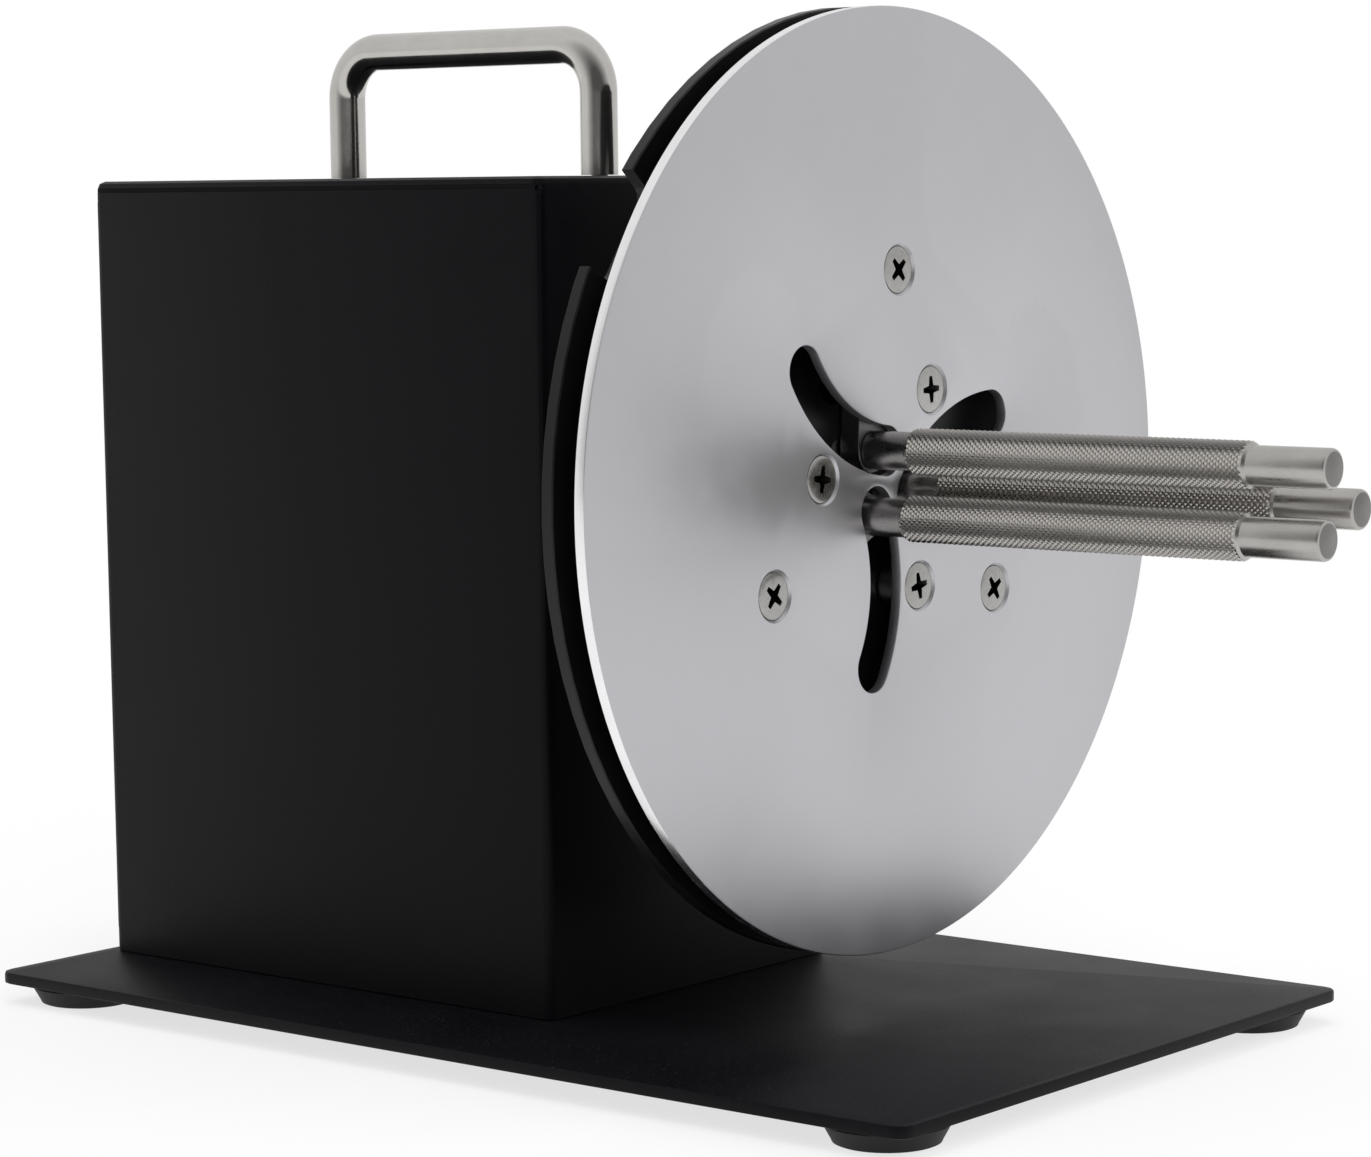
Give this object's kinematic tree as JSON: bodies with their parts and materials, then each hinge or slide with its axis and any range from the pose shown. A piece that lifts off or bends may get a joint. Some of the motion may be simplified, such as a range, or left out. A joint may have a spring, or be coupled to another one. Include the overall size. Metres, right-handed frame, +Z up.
{
  "type": "label rewinder",
  "caption": "Desktop label rewinder: a black motor box with a carry handle on a base plate turns a reel; knurled rods open to grip the roll's core when the rear disc is turned",
  "frame": {"origin": "on the table, under the middle of the machine's outer box", "axes": "+Z up, the reel faces -Y, its shaft lies along Y, the controls are on +X"},
  "size_m": [0.22, 0.334, 0.2438],
  "materials": {
    "black_coat": "satin powder coat",
    "black_anodised": "black anodised satin",
    "satin_aluminium": "bead blasted satin",
    "rod_steel": "knurled and machined",
    "arm_steel": "plated",
    "polished_steel": "polished",
    "zinc_steel": "zinc plated",
    "motor_steel": "plated",
    "black_rubber": "matte",
    "black_plastic": "fine texture",
    "rocker_plastic": "smooth",
    "felt": "felt",
    "board_green": "solder mask",
    "terminal_green": "moulded"
  },
  "bodies": {
    "machine": {"back_panel": "black_coat", "back_panel_screw_1": "zinc_steel", "back_panel_screw_2": "zinc_steel", "back_panel_screw_3": "zinc_steel", "back_panel_screw_4": "zinc_steel", "base_plate": "black_coat", "bearing_housing": "black_anodised", "bearing_screw_1": "zinc_steel", "bearing_screw_2": "zinc_steel", "bearing_screw_3": "zinc_steel", "board_tray": "black_plastic", "body_screw_1": "zinc_steel", "body_screw_2": "zinc_steel", "body_screw_3": "zinc_steel", "body_screw_4": "zinc_steel", "body_shell": "black_coat", "capacitor": "black_plastic", "carry_handle": "polished_steel", "control_board": "board_green", "direction_switch": "black_plastic", "gearbox": "motor_steel", "handle_screw_1": "zinc_steel", "handle_screw_2": "zinc_steel", "motor": "motor_steel", "potentiometer_nut": "zinc_steel", "power_inlet": "black_plastic", "rubber_foot_1": "black_rubber", "rubber_foot_2": "black_rubber", "rubber_foot_3": "black_rubber", "rubber_foot_4": "black_rubber", "shaft_bearing": "rod_steel", "speed_potentiometer": "motor_steel", "terminal_block": "terminal_green"},
    "reel": {"front_disc": "satin_aluminium", "reel_hub": "satin_aluminium", "hub_set_screw": "black_anodised", "friction_ring": "felt", "drive_shaft": "rod_steel", "inner_disc_screw_1": "zinc_steel", "inner_disc_screw_2": "zinc_steel", "inner_disc_screw_3": "zinc_steel", "outer_disc_screw_1": "zinc_steel", "outer_disc_screw_2": "zinc_steel", "outer_disc_screw_3": "zinc_steel", "pivot_post_1": "rod_steel", "pivot_post_2": "rod_steel", "pivot_post_3": "rod_steel"},
    "adjuster": {"adjusting_disc": "black_anodised"},
    "arm_1": {"swing_arm_1": "arm_steel", "core_rod_1": "rod_steel", "cam_pin_1": "rod_steel"},
    "arm_2": {"swing_arm_2": "arm_steel", "core_rod_2": "rod_steel", "cam_pin_2": "rod_steel"},
    "arm_3": {"swing_arm_3": "arm_steel", "core_rod_3": "rod_steel", "cam_pin_3": "rod_steel"},
    "speed_control": {"speed_knob": "black_plastic", "potentiometer_shaft": "rod_steel"},
    "rocker": {"direction_rocker": "rocker_plastic"}
  },
  "joints": [
    {"name": "reel_spin", "type": "hinge", "parent": "machine", "child": "reel", "pos_m": [0, -0.048, 0.1338], "axis": [0, 1, 0], "continuous": true},
    {"name": "core_adjust", "type": "hinge", "parent": "reel", "child": "adjuster", "pos_m": [0, -0.0375, 0.1338], "axis": [0, 1, 0], "range_deg": [0, 60]},
    {"name": "arm_swing_1", "type": "hinge", "parent": "reel", "child": "arm_1", "pos_m": [0.00309, -0.04205, 0.18355], "axis": [0, 1, 0], "range_deg": [0, 47.7]},
    {"name": "arm_swing_2", "type": "hinge", "parent": "reel", "child": "arm_2", "pos_m": [-0.04463, -0.04205, 0.1116], "axis": [0, 1, 0], "range_deg": [0, 47.7]},
    {"name": "arm_swing_3", "type": "hinge", "parent": "reel", "child": "arm_3", "pos_m": [0.04154, -0.04205, 0.10625], "axis": [0, 1, 0], "range_deg": [0, 47.7]},
    {"name": "speed_turn", "type": "hinge", "parent": "machine", "child": "speed_control", "pos_m": [0.0535, 0.058, 0.156], "axis": [1, 0, 0], "range_deg": [0, 280]},
    {"name": "direction_tip", "type": "hinge", "parent": "machine", "child": "rocker", "pos_m": [0.0544, 0.058, 0.112], "axis": [0, 1, 0], "range_deg": [-10, 10]}
  ],
  "couplings": [
    {"joint": "arm_swing_1", "follows": "core_adjust", "ratio": 0.795},
    {"joint": "arm_swing_2", "follows": "core_adjust", "ratio": 0.795},
    {"joint": "arm_swing_3", "follows": "core_adjust", "ratio": 0.795}
  ]
}
